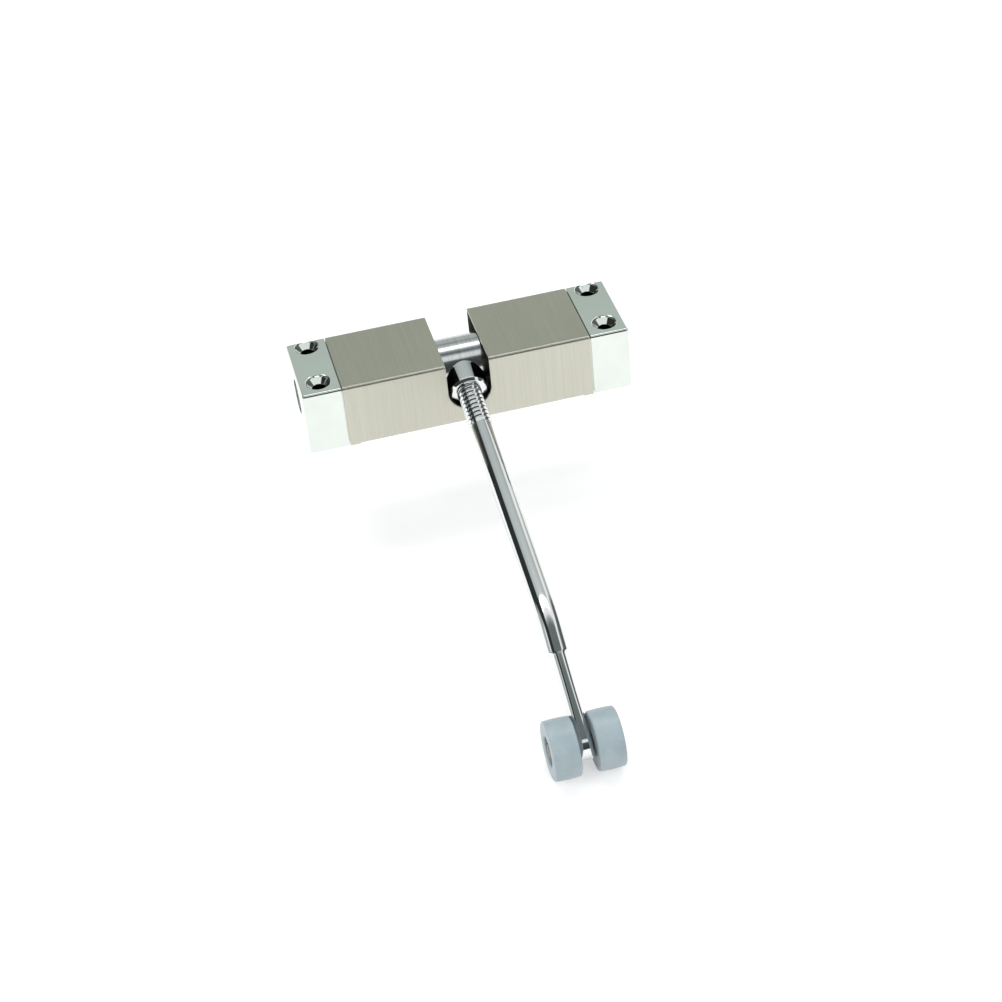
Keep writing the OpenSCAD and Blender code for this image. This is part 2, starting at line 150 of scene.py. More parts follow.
class Shape:
    """Vertices and faces of one piece, added surface by surface, in millimetres."""

    def __init__(self):
        self.points, self.faces, self.count = [], [], 0

    def add(self, points, faces):
        points = np.asarray(points, float).reshape(-1, 3)
        self.faces += [[int(i) + self.count for i in face] for face in faces]
        self.points.append(points)
        self.count += len(points)
        return self

    def grid(self, points, wrap=False):
        """Quads over a rows by columns array of points. With wrap, the last column joins the first."""
        rows, cols = points.shape[:2]
        index = np.arange(rows * cols).reshape(rows, cols)
        if wrap:
            index = np.concatenate([index, index[:, :1]], axis=1)
        quads = np.stack([index[:-1, :-1], index[:-1, 1:], index[1:, 1:], index[1:, :-1]], axis=-1)
        return self.add(points, quads.reshape(-1, 4))

    def lofted(self, loops):
        """Closed skin through a stack of closed loops, with a flat face at each end."""
        self.grid(loops, wrap=True)
        last = self.count
        first = last - loops.shape[0] * loops.shape[1]
        self.faces.append([int(i) for i in range(first, first + loops.shape[1])][::-1])
        self.faces.append([int(i) for i in range(last - loops.shape[1], last)])
        return self


def rounded_line(points, radii, steps=6):
    """Polyline whose inner corners become arcs: each arc touches both sides at radius * tan(turn / 2)."""
    points = np.asarray(points, float)
    out = [points[0]]
    for before, here, after, radius in zip(points[:-2], points[1:-1], points[2:], radii):
        back, ahead = before - here, after - here
        back, ahead = back / np.linalg.norm(back), ahead / np.linalg.norm(ahead)
        half = math.acos(max(-1.0, min(1.0, float(back @ ahead)))) / 2
        if radius <= 0 or half > math.pi / 2 - 1e-3:
            out.append(here)
            continue
        middle = here + (back + ahead) / np.linalg.norm(back + ahead) * radius / math.sin(half)
        reach = radius / math.tan(half)
        start, end = here + back * reach - middle, here + ahead * reach - middle
        sweep = math.pi - 2 * half
        turn = np.linspace(0, 1, steps)[:, None]
        arc = np.sin((1 - turn) * sweep) * start + np.sin(turn * sweep) * end
        out += list(middle + arc / math.sin(sweep))
    out.append(points[-1])
    return np.array(out)


def turned(profile, origin, along, around=96):
    """Lathe surface: a profile of (radius, distance) swept round the line through origin.
    Point = origin + along * distance + radius * (cos t * u + sin t * v)."""
    profile = np.asarray(profile, float)
    along = np.asarray(along, float)
    u = np.array([1.0, 0, 0]) if abs(along[2]) > 0.5 else np.array([0, 0, 1.0])
    v = np.cross(along, u)
    t = np.linspace(0, 2 * math.pi, around, endpoint=False)
    ring = np.cos(t)[:, None] * u + np.sin(t)[:, None] * v
    return np.asarray(origin) + profile[:, None, 1:2] * along + profile[:, None, 0:1] * ring[None]


def tube(path, out, radius, around=14):
    """Round wire: point = path + radius * (cos t * out + sin t * side), side square to path and out."""
    ahead = np.gradient(path, axis=0)
    ahead /= np.linalg.norm(ahead, axis=1, keepdims=True)
    side = np.cross(ahead, out)
    side /= np.linalg.norm(side, axis=1, keepdims=True)
    top = np.cross(side, ahead)
    t = np.linspace(0, 2 * math.pi, around, endpoint=False)[None, :, None]
    return path[:, None] + radius * (np.cos(t) * top[:, None] + np.sin(t) * side[:, None])


def smooth_step(x, low, high):
    """0 below low, 1 above high, an S curve between."""
    t = np.clip((x - low) / (high - low), 0, 1)
    return t * t * (3 - 2 * t)


def new_object(name, shape, weld=0.0005):
    """Mesh object from a Shape, with its doubles merged and its faces turned outwards."""
    mesh = bpy.data.meshes.new(name)
    mesh.from_pydata((np.concatenate(shape.points) * MM).tolist(), [], shape.faces)
    build = bmesh.new()
    build.from_mesh(mesh)
    bmesh.ops.remove_doubles(build, verts=build.verts, dist=weld * MM)
    bmesh.ops.recalc_face_normals(build, faces=build.faces)
    build.to_mesh(mesh)
    build.free()
    piece = bpy.data.objects.new(name, mesh)
    bpy.context.scene.collection.objects.link(piece)
    return piece


def baked(piece):
    """Applies a piece's modifiers to its mesh."""
    bpy.context.view_layer.update()
    depsgraph = bpy.context.evaluated_depsgraph_get()
    mesh = bpy.data.meshes.new_from_object(piece.evaluated_get(depsgraph))
    piece.modifiers.clear()
    piece.data = mesh


def combine(piece, operation, shapes):
    """Joins closed shapes to a piece ("UNION") or cuts them out of it ("DIFFERENCE")."""
    for number, shape in enumerate(shapes):
        cutter = new_object(f"cutter_{number}", shape)
        cut = piece.modifiers.new("cut", "BOOLEAN")
        cut.operation = operation
        cut.solver = "EXACT"
        cut.object = cutter
        baked(piece)
        bpy.data.objects.remove(cutter)


def finished(piece, body, replaces, material, sharp=35, bevel=0.0):
    """Smooth shading with edges kept where they are sharper than sharp, in degrees, then the frame's
    bookkeeping. bevel breaks those edges first. A piece without a body is left unattached."""
    if bevel:
        edge = piece.modifiers.new("edge_break", "BEVEL")
        edge.width = bevel * MM
        edge.segments = 2
        edge.limit_method = "ANGLE"
        edge.angle_limit = math.radians(sharp)
        edge.harden_normals = False
        baked(piece)
    mesh = piece.data
    mesh.polygons.foreach_set("use_smooth", np.ones(len(mesh.polygons), bool))
    mesh.set_sharp_from_angle(angle=math.radians(sharp))
    shade = piece.modifiers.new("even_shading", "WEIGHTED_NORMAL")
    shade.keep_sharp = True
    mesh.materials.clear()
    mesh.materials.append(material)
    if body:
        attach(piece, body)
    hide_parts(*replaces)
    return piece


# ---- shader expressions ----


class Wire:
    """A shader socket. Arithmetic on it adds Math nodes to its material."""

    def __init__(self, graph, socket):
        self.graph, self.socket = graph, socket

    def _sum(self, operation, left, right):
        return self.graph.node("ShaderNodeMath", {"operation": operation}, {0: left, 1: right})

    def __add__(self, other):
        return self._sum("ADD", self, other)

    def __radd__(self, other):
        return self._sum("ADD", other, self)

    def __sub__(self, other):
        return self._sum("SUBTRACT", self, other)

    def __rsub__(self, other):
        return self._sum("SUBTRACT", other, self)

    def __mul__(self, other):
        return self._sum("MULTIPLY", self, other)

    def __rmul__(self, other):
        return self._sum("MULTIPLY", other, self)


class Graph:
    """A shader node tree."""

    def __init__(self, tree):
        self.tree = tree

    def node(self, kind, settings=None, values=None, out=0):
        """Adds a node: its settings first, then its sockets, and returns one of its outputs."""
        node = self.tree.nodes.new(kind)
        settings = dict(settings or {})
        stops = settings.pop("stops", None)
        for key, value in settings.items():
            setattr(node, key, value)
        if stops:
            ramp = node.color_ramp.elements
            while len(ramp) < len(stops):
                ramp.new(1.0)
            for element, (position, colour) in zip(ramp, stops):
                element.position, element.color = position, (*colour, 1)
        for key, value in (values or {}).items():
            self.feed(node.inputs[key], value)
        return Wire(self, node.outputs[out])

    def feed(self, socket, value):
        """Links a wire to a socket, or sets the socket's own value."""
        if isinstance(value, Wire):
            self.tree.links.new(value.socket, socket)
        else:
            socket.default_value = value

    def scaled(self, wire, low, high, to_low=0.0, to_high=1.0):
        """Maps low..high to to_low..to_high and holds it there outside."""
        return self.node("ShaderNodeMapRange", {"clamp": True}, {
            "Value": wire, "From Min": low, "From Max": high, "To Min": to_low, "To Max": to_high})

    def blend(self, amount, first, second):
        """Mixes two colours."""
        return self.node("ShaderNodeMix", {"data_type": "RGBA"}, {
            0: amount, 6: first if isinstance(first, Wire) else (*first, 1),
            7: second if isinstance(second, Wire) else (*second, 1)}, out=2)


class Finish(Graph):
    """One procedural material, built round a Principled shader."""

    def __init__(self, name, colour, metallic=0.0, roughness=0.4):
        self.material = bpy.data.materials.new(name)
        self.material.use_nodes = True
        super().__init__(self.material.node_tree)
        self.shader = self.tree.nodes["Principled BSDF"]
        self.material.diffuse_color = (*colour, 1)
        self.set("Base Color", (*colour, 1)).set("Metallic", metallic).set("Roughness", roughness)
        self.place = self.node("ShaderNodeTexCoord", out="Object")

    def set(self, name, value):
        self.feed(self.shader.inputs[name], value)
        return self

    def noise(self, scale, detail=3.0, roughness=0.5, shift=(0, 0, 0)):
        """Noise on Object coordinates with its own scale along X, Y and Z, per metre."""
        placed = self.node("ShaderNodeMapping", None, {
            "Vector": self.place, "Scale": scale, "Location": shift})
        return self.node("ShaderNodeTexNoise", None, {
            "Vector": placed, "Scale": 1.0, "Detail": detail, "Roughness": roughness})

    def bump(self, height, distance, strength=1.0):
        """Relief of the given height in metres."""
        return self.set("Normal", self.node("ShaderNodeBump", None, {
            "Height": height, "Distance": distance, "Strength": strength}))


def brushed_sheet():
    """Stainless sheet, brushed straight across the body: fine bright and dark lines, a few deeper
    scratches, and broad faint smears from handling."""
    f = Finish("brushed_stainless", (0.54, 0.535, 0.46), 1.0, 0.30)
    fine = f.noise((16000, 60, 60), 4, 0.7)
    broad = f.noise((2600, 26, 26), 3, 0.6, (3, 1, 2))
    smear = f.noise((34, 60, 60), 3, 0.5, (7, 2, 5))
    scratch = f.scaled(f.noise((7000, 130, 130), 2, 0.5, (11, 4, 9)), 0.68, 0.76)
    lines = fine * 0.65 + broad * 0.35
    tone = f.scaled(lines + (smear - 0.5) * 0.1, 0.36, 0.64)
    f.set("Base Color", f.blend(tone, (0.50, 0.495, 0.42), (0.595, 0.585, 0.505)))
    f.set("Roughness", f.scaled(lines + smear * 0.35, 0.4, 0.9, 0.27, 0.38))
    return f.bump(fine * 0.6 + broad * 0.2 - scratch * 0.5, 0.0000018, 0.8).material


def bright_plating(name, colour, ripple, haze, along=(900, 900, 900)):
    """Bright plating over a polished casting or rod: a slow ripple, faint haze, hairline scratches."""
    f = Finish(name, colour, 1.0, 0.06)
    slow = f.noise((140, 140, 140), 2, 0.4)
    cloud = f.noise((60, 60, 60), 4, 0.6, (5, 3, 1))
    hair = f.scaled(f.noise(along, 2, 0.6, (1, 8, 2)), 0.64, 0.72)
    speck = f.scaled(f.noise((2600, 2600, 2600), 2, 0.5, (4, 4, 9)), 0.72, 0.78)
    f.set("Base Color", f.blend(f.scaled(cloud, 0.35, 0.7), colour, tuple(0.93 * c for c in colour)))
    f.set("Roughness", f.scaled(cloud, 0.35, 0.75, haze * 0.6, haze * 1.5) + hair * 0.08 + speck * 0.1)
    return f.bump(slow + cloud * 0.3 - hair * 0.04 - speck * 0.05, ripple).material


def turned_satin():
    """Satin-plated turned barrel: faint rings left by the lathe tool, close together along X."""
    f = Finish("turned_satin", (0.66, 0.68, 0.68), 1.0, 0.2)
    rings = f.noise((4200, 14, 14), 3, 0.6)
    wide = f.noise((700, 16, 16), 2, 0.5, (2, 6, 1))
    stain = f.noise((150, 150, 150), 4, 0.6, (9, 1, 3))
    tone = f.scaled(rings * 0.5 + wide * 0.5, 0.38, 0.62)
    f.set("Base Color", f.blend(tone, (0.61, 0.63, 0.635), (0.71, 0.725, 0.725)))
    f.set("Roughness", f.scaled(stain + wide * 0.3, 0.5, 0.9, 0.11, 0.18))
    return f.bump(rings * 0.8 + wide * 0.2, 0.0000032, 0.9).material


def moulded_nylon():
    """Blue-grey moulded nylon: satin skin with a fine moulding texture, cloudy flow and light scuffs."""
    f = Finish("moulded_nylon", (0.275, 0.335, 0.36), 0.0, 0.42)
    flow = f.noise((170, 170, 170), 4, 0.6)
    skin = f.noise((3800, 3800, 3800), 3, 0.6, (3, 3, 3))
    scuff = f.scaled(f.noise((260, 2400, 2400), 3, 0.6, (8, 5, 1)), 0.6, 0.72)
    tone = f.blend(f.scaled(flow, 0.35, 0.7), (0.255, 0.315, 0.34), (0.305, 0.37, 0.40))
    f.set("Base Color", f.blend(scuff * 0.35, tone, (0.39, 0.445, 0.465)))
    f.set("Roughness", f.scaled(flow, 0.3, 0.7, 0.34, 0.46) + scuff * 0.14)
    f.set("Subsurface Weight", 0.08)
    f.set("Subsurface Radius", (0.002, 0.002, 0.002))
    f.set("Coat Weight", 0.12)
    f.set("Coat Roughness", 0.25)
    return f.bump(skin * 0.6 + flow * 0.4 - scuff * 0.3, 0.000014, 0.8).material


def worked_steel(name, dark, light, rough, grain=(1800, 1800, 1800), spots=0.3, metallic=1.0):
    """Plain worked metal, mottled between a dark and a light colour, with a fine grain and small pits
    that spots makes darker."""
    f = Finish(name, light, metallic, rough)
    mottle = f.noise((420, 420, 420), 4, 0.65)
    fine = f.noise(grain, 3, 0.6, (2, 7, 4))
    pit = f.scaled(f.noise((1500, 1500, 1500), 2, 0.5, (6, 1, 8)), 0.66, 0.74)
    tone = f.scaled(mottle * 0.6 + fine * 0.4, 0.35, 0.65)
    f.set("Base Color", f.blend(pit * spots, f.blend(tone, dark, light), tuple(0.5 * c for c in dark)))
    f.set("Roughness", f.scaled(mottle, 0.3, 0.7, rough * 0.8, rough * 1.25) + pit * 0.12)
    return f.bump(fine * 0.6 + mottle * 0.3 - pit * 0.6, 0.000006, 0.9).material


STAINLESS = brushed_sheet()
CAP_CHROME = bright_plating("cap_plating", (0.745, 0.79, 0.75), 0.00003, 0.06)
ROD_CHROME = bright_plating("rod_plating", (0.79, 0.81, 0.81), 0.00001, 0.06, (2600, 240, 240))
SATIN = turned_satin()
NYLON = moulded_nylon()
ZINC = worked_steel("zinc_plate", (0.42, 0.43, 0.44), (0.62, 0.62, 0.61), 0.34)
AXLE_STEEL = worked_steel("axle_steel", (0.13, 0.11, 0.09), (0.34, 0.30, 0.255), 0.42,
                          (2600, 700, 700), 0.6)
BLACK_STEEL = worked_steel("black_oxide", (0.02, 0.018, 0.016), (0.06, 0.052, 0.045), 0.5, metallic=0.4)
SPRING_WIRE = worked_steel("spring_wire", (0.16, 0.16, 0.165), (0.33, 0.33, 0.34), 0.32)
BRONZE = worked_steel("sintered_bronze", (0.36, 0.22, 0.09), (0.58, 0.38, 0.18), 0.45,
                      (3000, 3000, 3000), 0.6)

# ---- cover ----


def cover_section(run, inset=0.0):
    """Point of the U section at a distance run from the top's middle line, as (y, z): along the flat
    top, round the edge and down the wall. inset moves it inwards by that much."""
    radius = EDGE_RADIUS
    flat = HALF_DEPTH - radius
    arc = radius * math.pi / 2
    far = np.abs(run)
    turn = np.clip((far - flat) / radius, 0, math.pi / 2)
    y = np.minimum(far, flat) + (radius - inset) * np.sin(turn)
    z = HEIGHT - radius + (radius - inset) * np.cos(turn) - np.maximum(far - flat - arc, 0)
    return np.sign(run) * y, z


def cover_piece():
    """Folded sheet: rows run across the body and down both walls, and each row runs from the end of
    the cover to the edge of the slot, which is straight over the top and a half circle in each wall."""
    flat = HALF_DEPTH - EDGE_RADIUS
    arc = EDGE_RADIUS * math.pi / 2
    wall_top = flat + arc
    wall = HEIGHT - EDGE_RADIUS
    slot_centre = wall_top + wall - SLOT_CENTRE_Z
    round_part = slot_centre + SLOT_HALF * np.sin(np.linspace(0, math.pi / 2, 28))
    half = np.concatenate([
        np.linspace(0, flat, 14), flat + np.linspace(0, arc, 10)[1:],
        np.linspace(wall_top, slot_centre, 8)[1:], round_part[1:],
        np.linspace(round_part[-1], wall_top + wall, 6)[1:]])
    run = np.concatenate([-half[:0:-1], half])
    deep = np.clip(np.abs(run) - slot_centre, 0, SLOT_HALF)
    below_slot = np.abs(run) > slot_centre + SLOT_HALF - 1e-6
    slot_x = np.where(below_slot, 0, np.sqrt(SLOT_HALF ** 2 - deep ** 2))
    foot_share = (COVER_HALF - FOOT[0]) / COVER_HALF
    share = np.concatenate([np.linspace(0, foot_share, 22), np.linspace(foot_share + 0.0008, 1, 5)])
    x = slot_x[:, None] + share[None] * (COVER_HALF - slot_x[:, None])
    bottom = np.where(share <= foot_share + 1e-4, FOOT[1], 0.0)
    shape = Shape()
    for inset in (0.0, SHEET):
        y, z = cover_section(run, inset)
        y, z = np.broadcast_to(y[:, None], x.shape), np.broadcast_to(z[:, None], x.shape).copy()
        for end in (0, -1):
            z[end] = bottom
        for side in (1, -1):
            shape.grid(np.stack([side * x, y, z], axis=-1))
    # rims: outer and inner surface joined along the ends, the slot and the bottom edges
    y0, z0 = cover_section(run, 0.0)
    y1, z1 = cover_section(run, SHEET)
    at_bottom = np.arange(len(run)) % (len(run) - 1) == 0
    for side in (1, -1):
        for edge_x, edge_bottom in ((np.full_like(run, COVER_HALF), 0.0), (slot_x, FOOT[1])):
            open_here = edge_x > 1e-6
            keep = open_here | np.roll(open_here, 1) | np.roll(open_here, -1)
            rows = np.stack([np.stack([side * edge_x, y, np.where(at_bottom, edge_bottom, z)], -1)
                             for y, z in ((y0, z0), (y1, z1))])
            shape.grid(rows[:, keep])
        for end in (0, -1):
            shape.grid(np.stack([np.stack([side * x[end], np.full(len(share), y[end]), bottom], -1)
                                 for y in (y0, y1)]))
    piece = new_object("cover_sheet", shape)
    return finished(piece, "housing", ["cover"], STAINLESS, 30, 0.07)


# ---- end caps ----


def rounded_box_loop(low, high, radii, steps):
    """Rounded rectangle in Y and Z, from its lower front corner round to its upper front corner, with
    how far each point looks down (1 along the bottom, 0 at the sides)."""
    places = [(low[0], low[1]), (high[0], low[1]), (high[0], high[1]), (low[0], high[1])]
    inward = [(1, 1), (-1, 1), (-1, -1), (1, -1)]
    loop, down = [], []
    for number, (place, into, radius) in enumerate(zip(places, inward, radii)):
        angles = math.radians(180 + 90 * number) + np.linspace(0, math.pi / 2, steps + 1)
        ray = np.stack([np.cos(angles), np.sin(angles)], -1)
        loop.append(np.array(place) + np.array(into) * radius + radius * ray)
        down.append(np.clip(-ray[:, 1], 0, 1))
    return np.concatenate(loop), np.concatenate(down)


def block_loops(low, high, radii, ends, steps=7):
    """Loops of a block along X: a rounded rectangle in Y and Z whose size shrinks over a quarter circle
    at each end. radii are the corners of the rectangle; ends holds each end's edge radius at the sides
    and top, and along the bottom."""
    rows = []
    for x, sign, edge, low_edge in ((low[0], 1, *ends[0]), (high[0], -1, *ends[1])):
        stages = np.linspace(0, math.pi / 2, steps)
        for a in stages[::-1] if sign > 0 else stages:
            inset, low_inset = edge * (1 - math.cos(a)), low_edge * (1 - math.cos(a))
            yz, down = rounded_box_loop(
                (low[1] + inset, low[2] + low_inset), (high[1] - inset, high[2] - inset),
                [max(radius - inset, 0.12) for radius in radii], steps)
            radius = edge + (low_edge - edge) * down
            rows.append(np.column_stack([x + sign * radius * (1 - math.sin(a)), yz]))
    return np.array(rows)


def drill(profile, origin, along, around=64):
    """Closed lathe shape used as a cutter; its profile starts and ends on the axis."""
    return Shape().grid(turned(profile, origin, along, around), wrap=True)


def end_cap(name, node, side):
    """Plated casting: a rounded block with a shoulder that fits inside the cover, two countersunk
    screw holes whose rims are slightly rolled, a bore right through for the spring plug and a recess
    below. The cap on the adjuster's side also has the lock screw's hole."""
    block = block_loops((CAP_START, -HALF_DEPTH, 0), (HALF_LENGTH, HALF_DEPTH, HEIGHT),
                        (0.5, 0.5, EDGE_RADIUS, EDGE_RADIUS), ((0.2, 0.2), (0.8, 0.45)))
    inner = HALF_DEPTH - SHEET - SIT_GAP
    shoulder = block_loops((SHOULDER_START, -inner, PLATE_ROOM),
                           (CAP_START + 0.4, inner, HEIGHT - SHEET - SHOULDER_DROP),
                           (0.2, 0.2, 0.3, 0.3), ((0.2, 0.2), (0.1, 0.1)), 3)
    piece = new_object(name, Shape().lofted(block * (side, 1, 1)))
    combine(piece, "UNION", [Shape().lofted(shoulder * (side, 1, 1))])
    cutters = []
    for y in (HOLE_SHIFT - HOLE_PITCH / 2, HOLE_SHIFT + HOLE_PITCH / 2):
        origin = (side * (HALF_LENGTH - HOLE_INSET), y, 0)
        profile = [(0, -OVERCUT), *rounded_line(
            [(HOLE_RADIUS, -OVERCUT), (HOLE_RADIUS, HEIGHT - SINK_FOOT),
             (SINK_RADIUS - 0.05, HEIGHT - SINK_LIP), (SINK_RADIUS, HEIGHT - SINK_ROLL),
             (SINK_RADIUS + 0.25, HEIGHT), (SINK_RADIUS + 1.3, HEIGHT + 0.6)],
            (0.12, 0.15, 0.12, 0), 5), (0, HEIGHT + 0.6)]
        cutters.append(drill(profile, origin, (0, 0, 1)))
    near, far = SHOULDER_START - OVERCUT, HALF_LENGTH + OVERCUT
    bore = PLUG_RADIUS + RUN_GAP
    cutters.append(drill([(0, near), (bore, near), (bore, far), (0, far)], (0, 0, AXIS[2]), (side, 0, 0)))
    recess = block_loops((CAP_START - OVERCUT, -TONGUE_HALF, -OVERCUT),
                         (CAP_START + TONGUE_REACH, TONGUE_HALF, PLATE_ROOM),
                         (0.3,) * 4, ((0.1, 0.1),) * 2, 3)
    cutters.append(Shape().lofted(recess * (side, 1, 1)))
    if side > 0:
        cutters.append(drill([(0, -OVERCUT), (LOCK_RADIUS, -OVERCUT), (LOCK_RADIUS, LOCK_DEPTH),
                              (0, LOCK_DEPTH)], (HALF_LENGTH - LOCK_INSET, 0, 0), (0, 0, 1), 32))
    combine(piece, "DIFFERENCE", cutters)
    return finished(piece, "housing", [node], CAP_CHROME, 28, 0.09)


# ---- spindle and springs ----


def spindle_piece():
    """Turned spindle: thick barrel with broken edges, a neck each side and a journal at each end."""
    tip = corner("spindle", 1)[0]
    step = tip - JOURNAL_LENGTH + SIT_GAP
    half = [(0, tip), (JOURNAL_RADIUS, tip), (JOURNAL_RADIUS, step), (NECK_RADIUS, step),
            (NECK_RADIUS, BARREL_HALF), (BARREL_RADIUS, BARREL_HALF)]
    line = half + [(r, -x) for r, x in half[::-1]]
    radii = (0.3, 0, 0.2, 0.4, 0.45, 0.45, 0.4, 0.2, 0, 0.3)
    profile = rounded_line(line, radii, 5)
    shape = Shape().grid(turned(profile, (0, 0, AXIS[2]), (1, 0, 0), 160), wrap=True)
    piece = new_object("spindle_turned", shape)
    return finished(piece, "arm", ["spindle"], SATIN, 35)


def spring_wire(node, side):
    """Path and outward direction of a coiled wire, and the x positions where its coils start and
    stop: x runs evenly with the angle, and at each end the wire bends into a straight leg that enters
    the barrel or the plug."""
    low, high = corner(node, 0), corner(node, 1)
    inner, outer = min(abs(low[0]), abs(high[0])), max(abs(low[0]), abs(high[0]))
    start, stop = BARREL_HALF + LEG_BEND, outer - LEG_OUTER
    coils = side * start, side * stop
    turns = int((stop - start) / (2 * WIRE_RADIUS + COIL_GAP))
    quarter = np.linspace(0, math.pi / 2, 9)
    swing = LEG_BEND / COIL_RADIUS
    total = 2 * math.pi * turns
    t = np.linspace(0, 1, turns * 56)[1:-1]
    x = np.concatenate([[inner], start - LEG_BEND * (1 - np.sin(quarter)), start + t * (stop - start),
                        stop + LEG_BEND * (1 - np.sin(quarter[::-1])), [outer]])
    angle = np.concatenate([[0], swing * (1 - np.cos(quarter)), swing + t * (total - 2 * swing),
                            total - swing * (1 - np.cos(quarter[::-1])), [total]])
    out = np.stack([np.zeros_like(x), np.sin(angle), np.cos(angle)], -1)
    path = np.stack([side * x, COIL_RADIUS * out[:, 1], COIL_RADIUS * out[:, 2] + AXIS[2]], -1)
    return path, out, coils


def spring_length(name, node, path, out, bodies):
    """Length of spring wire. On two bodies it is left unattached, with its place baked into its mesh.
    On one body it rides with that body."""
    piece = finished(new_object(name, Shape().lofted(tube(path, out, WIRE_RADIUS - TRIM, 12))),
                     bodies[0] if len(bodies) == 1 else None, [node], SPRING_WIRE, 50)
    if len(bodies) == 2:
        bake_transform(piece)


def spring_pieces(label, node, side, outer_bodies):
    """Spring in two lengths: the inner one lies between the arm and the housing; the outer one lies between
    the housing and a plug that turns, or stands still with one that is fixed."""
    path, out, coils = spring_wire(node, side)
    middle = len(path) // 2
    spring_length(f"{label}_spring_inner_coils", node, path[:middle + 1], out[:middle + 1],
                  ("arm", "housing"))
    spring_length(f"{label}_spring_outer_coils", node, path[middle:], out[middle:],
                  outer_bodies)


# ---- arm ----

ALONG = np.array([0, -math.cos(REST_ANGLE), -math.sin(REST_ANGLE)])
ACROSS = np.array([0, -math.sin(REST_ANGLE), math.cos(REST_ANGLE)])


def collar_piece():
    """Round collar on the barrel: its foot follows the barrel, at a distance along the arm of
    sqrt(barrel radius squared - height squared), and its free end is turned with a rounded chamfer."""
    bore = THREAD_RADIUS + RUN_GAP
    profile = rounded_line([(COLLAR_RADIUS, 0), (COLLAR_RADIUS, COLLAR_END - COLLAR_CHAMFER),
                            (COLLAR_RADIUS - COLLAR_CHAMFER, COLLAR_END), (bore, COLLAR_END),
                            (bore, COLLAR_END - COLLAR_BORE)], (0.35, 0.3, 0.15), 6)
    t = np.linspace(0, 2 * math.pi, 128, endpoint=False)

    def foot(radius):
        reach = np.sqrt(BARREL_RADIUS ** 2 - (radius * np.sin(t)) ** 2)
        return np.stack([np.full_like(t, radius), reach + 0.01], -1)

    loops = [foot(COLLAR_RADIUS)]
    for share in (0.34, 0.67):
        mid = foot(COLLAR_RADIUS)
        mid[:, 1] += share * (COLLAR_END - 1.2 - mid[:, 1])
        loops.append(mid)
    loops += [np.broadcast_to(point, (len(t), 2)) for point in profile[1:]]
    loops.append(foot(bore))
    loops.append(foot(COLLAR_RADIUS))
    rs = np.array(loops)
    points = (np.array([0, 0, AXIS[2]]) + rs[..., 1:2] * ALONG
              + rs[..., 0:1] * (np.cos(t)[None, :, None] * np.array([1.0, 0, 0])
                                + np.sin(t)[None, :, None] * ACROSS))
    piece = new_object("collar_turned", Shape().grid(points, wrap=True))
    return finished(piece, "arm", ["arm_collar"], ROD_CHROME, 40)


def rod_path(s):
    """Centre line and upward normal of the arm at distance s from the spindle axis: straight, an arc
    at the bend, straight again down to the axle."""
    tangent = BEND_RADIUS * math.tan(BEND_ANGLE / 2)
    first = BEND_AT - tangent
    arc = BEND_RADIUS * BEND_ANGLE
    turn = np.clip((s - first) / BEND_RADIUS, 0, BEND_ANGLE)
    after = np.maximum(s - first - arc, 0)
    before = np.minimum(s, first)
    forward = before + BEND_RADIUS * np.sin(turn) + after * math.cos(BEND_ANGLE)
    drop = BEND_RADIUS * (1 - np.cos(turn)) + after * math.sin(BEND_ANGLE)
    centre = np.array([0, 0, AXIS[2]]) + forward[:, None] * ALONG - drop[:, None] * ACROSS
    normal = np.cos(turn)[:, None] * ACROSS + np.sin(turn)[:, None] * ALONG
    return centre, normal


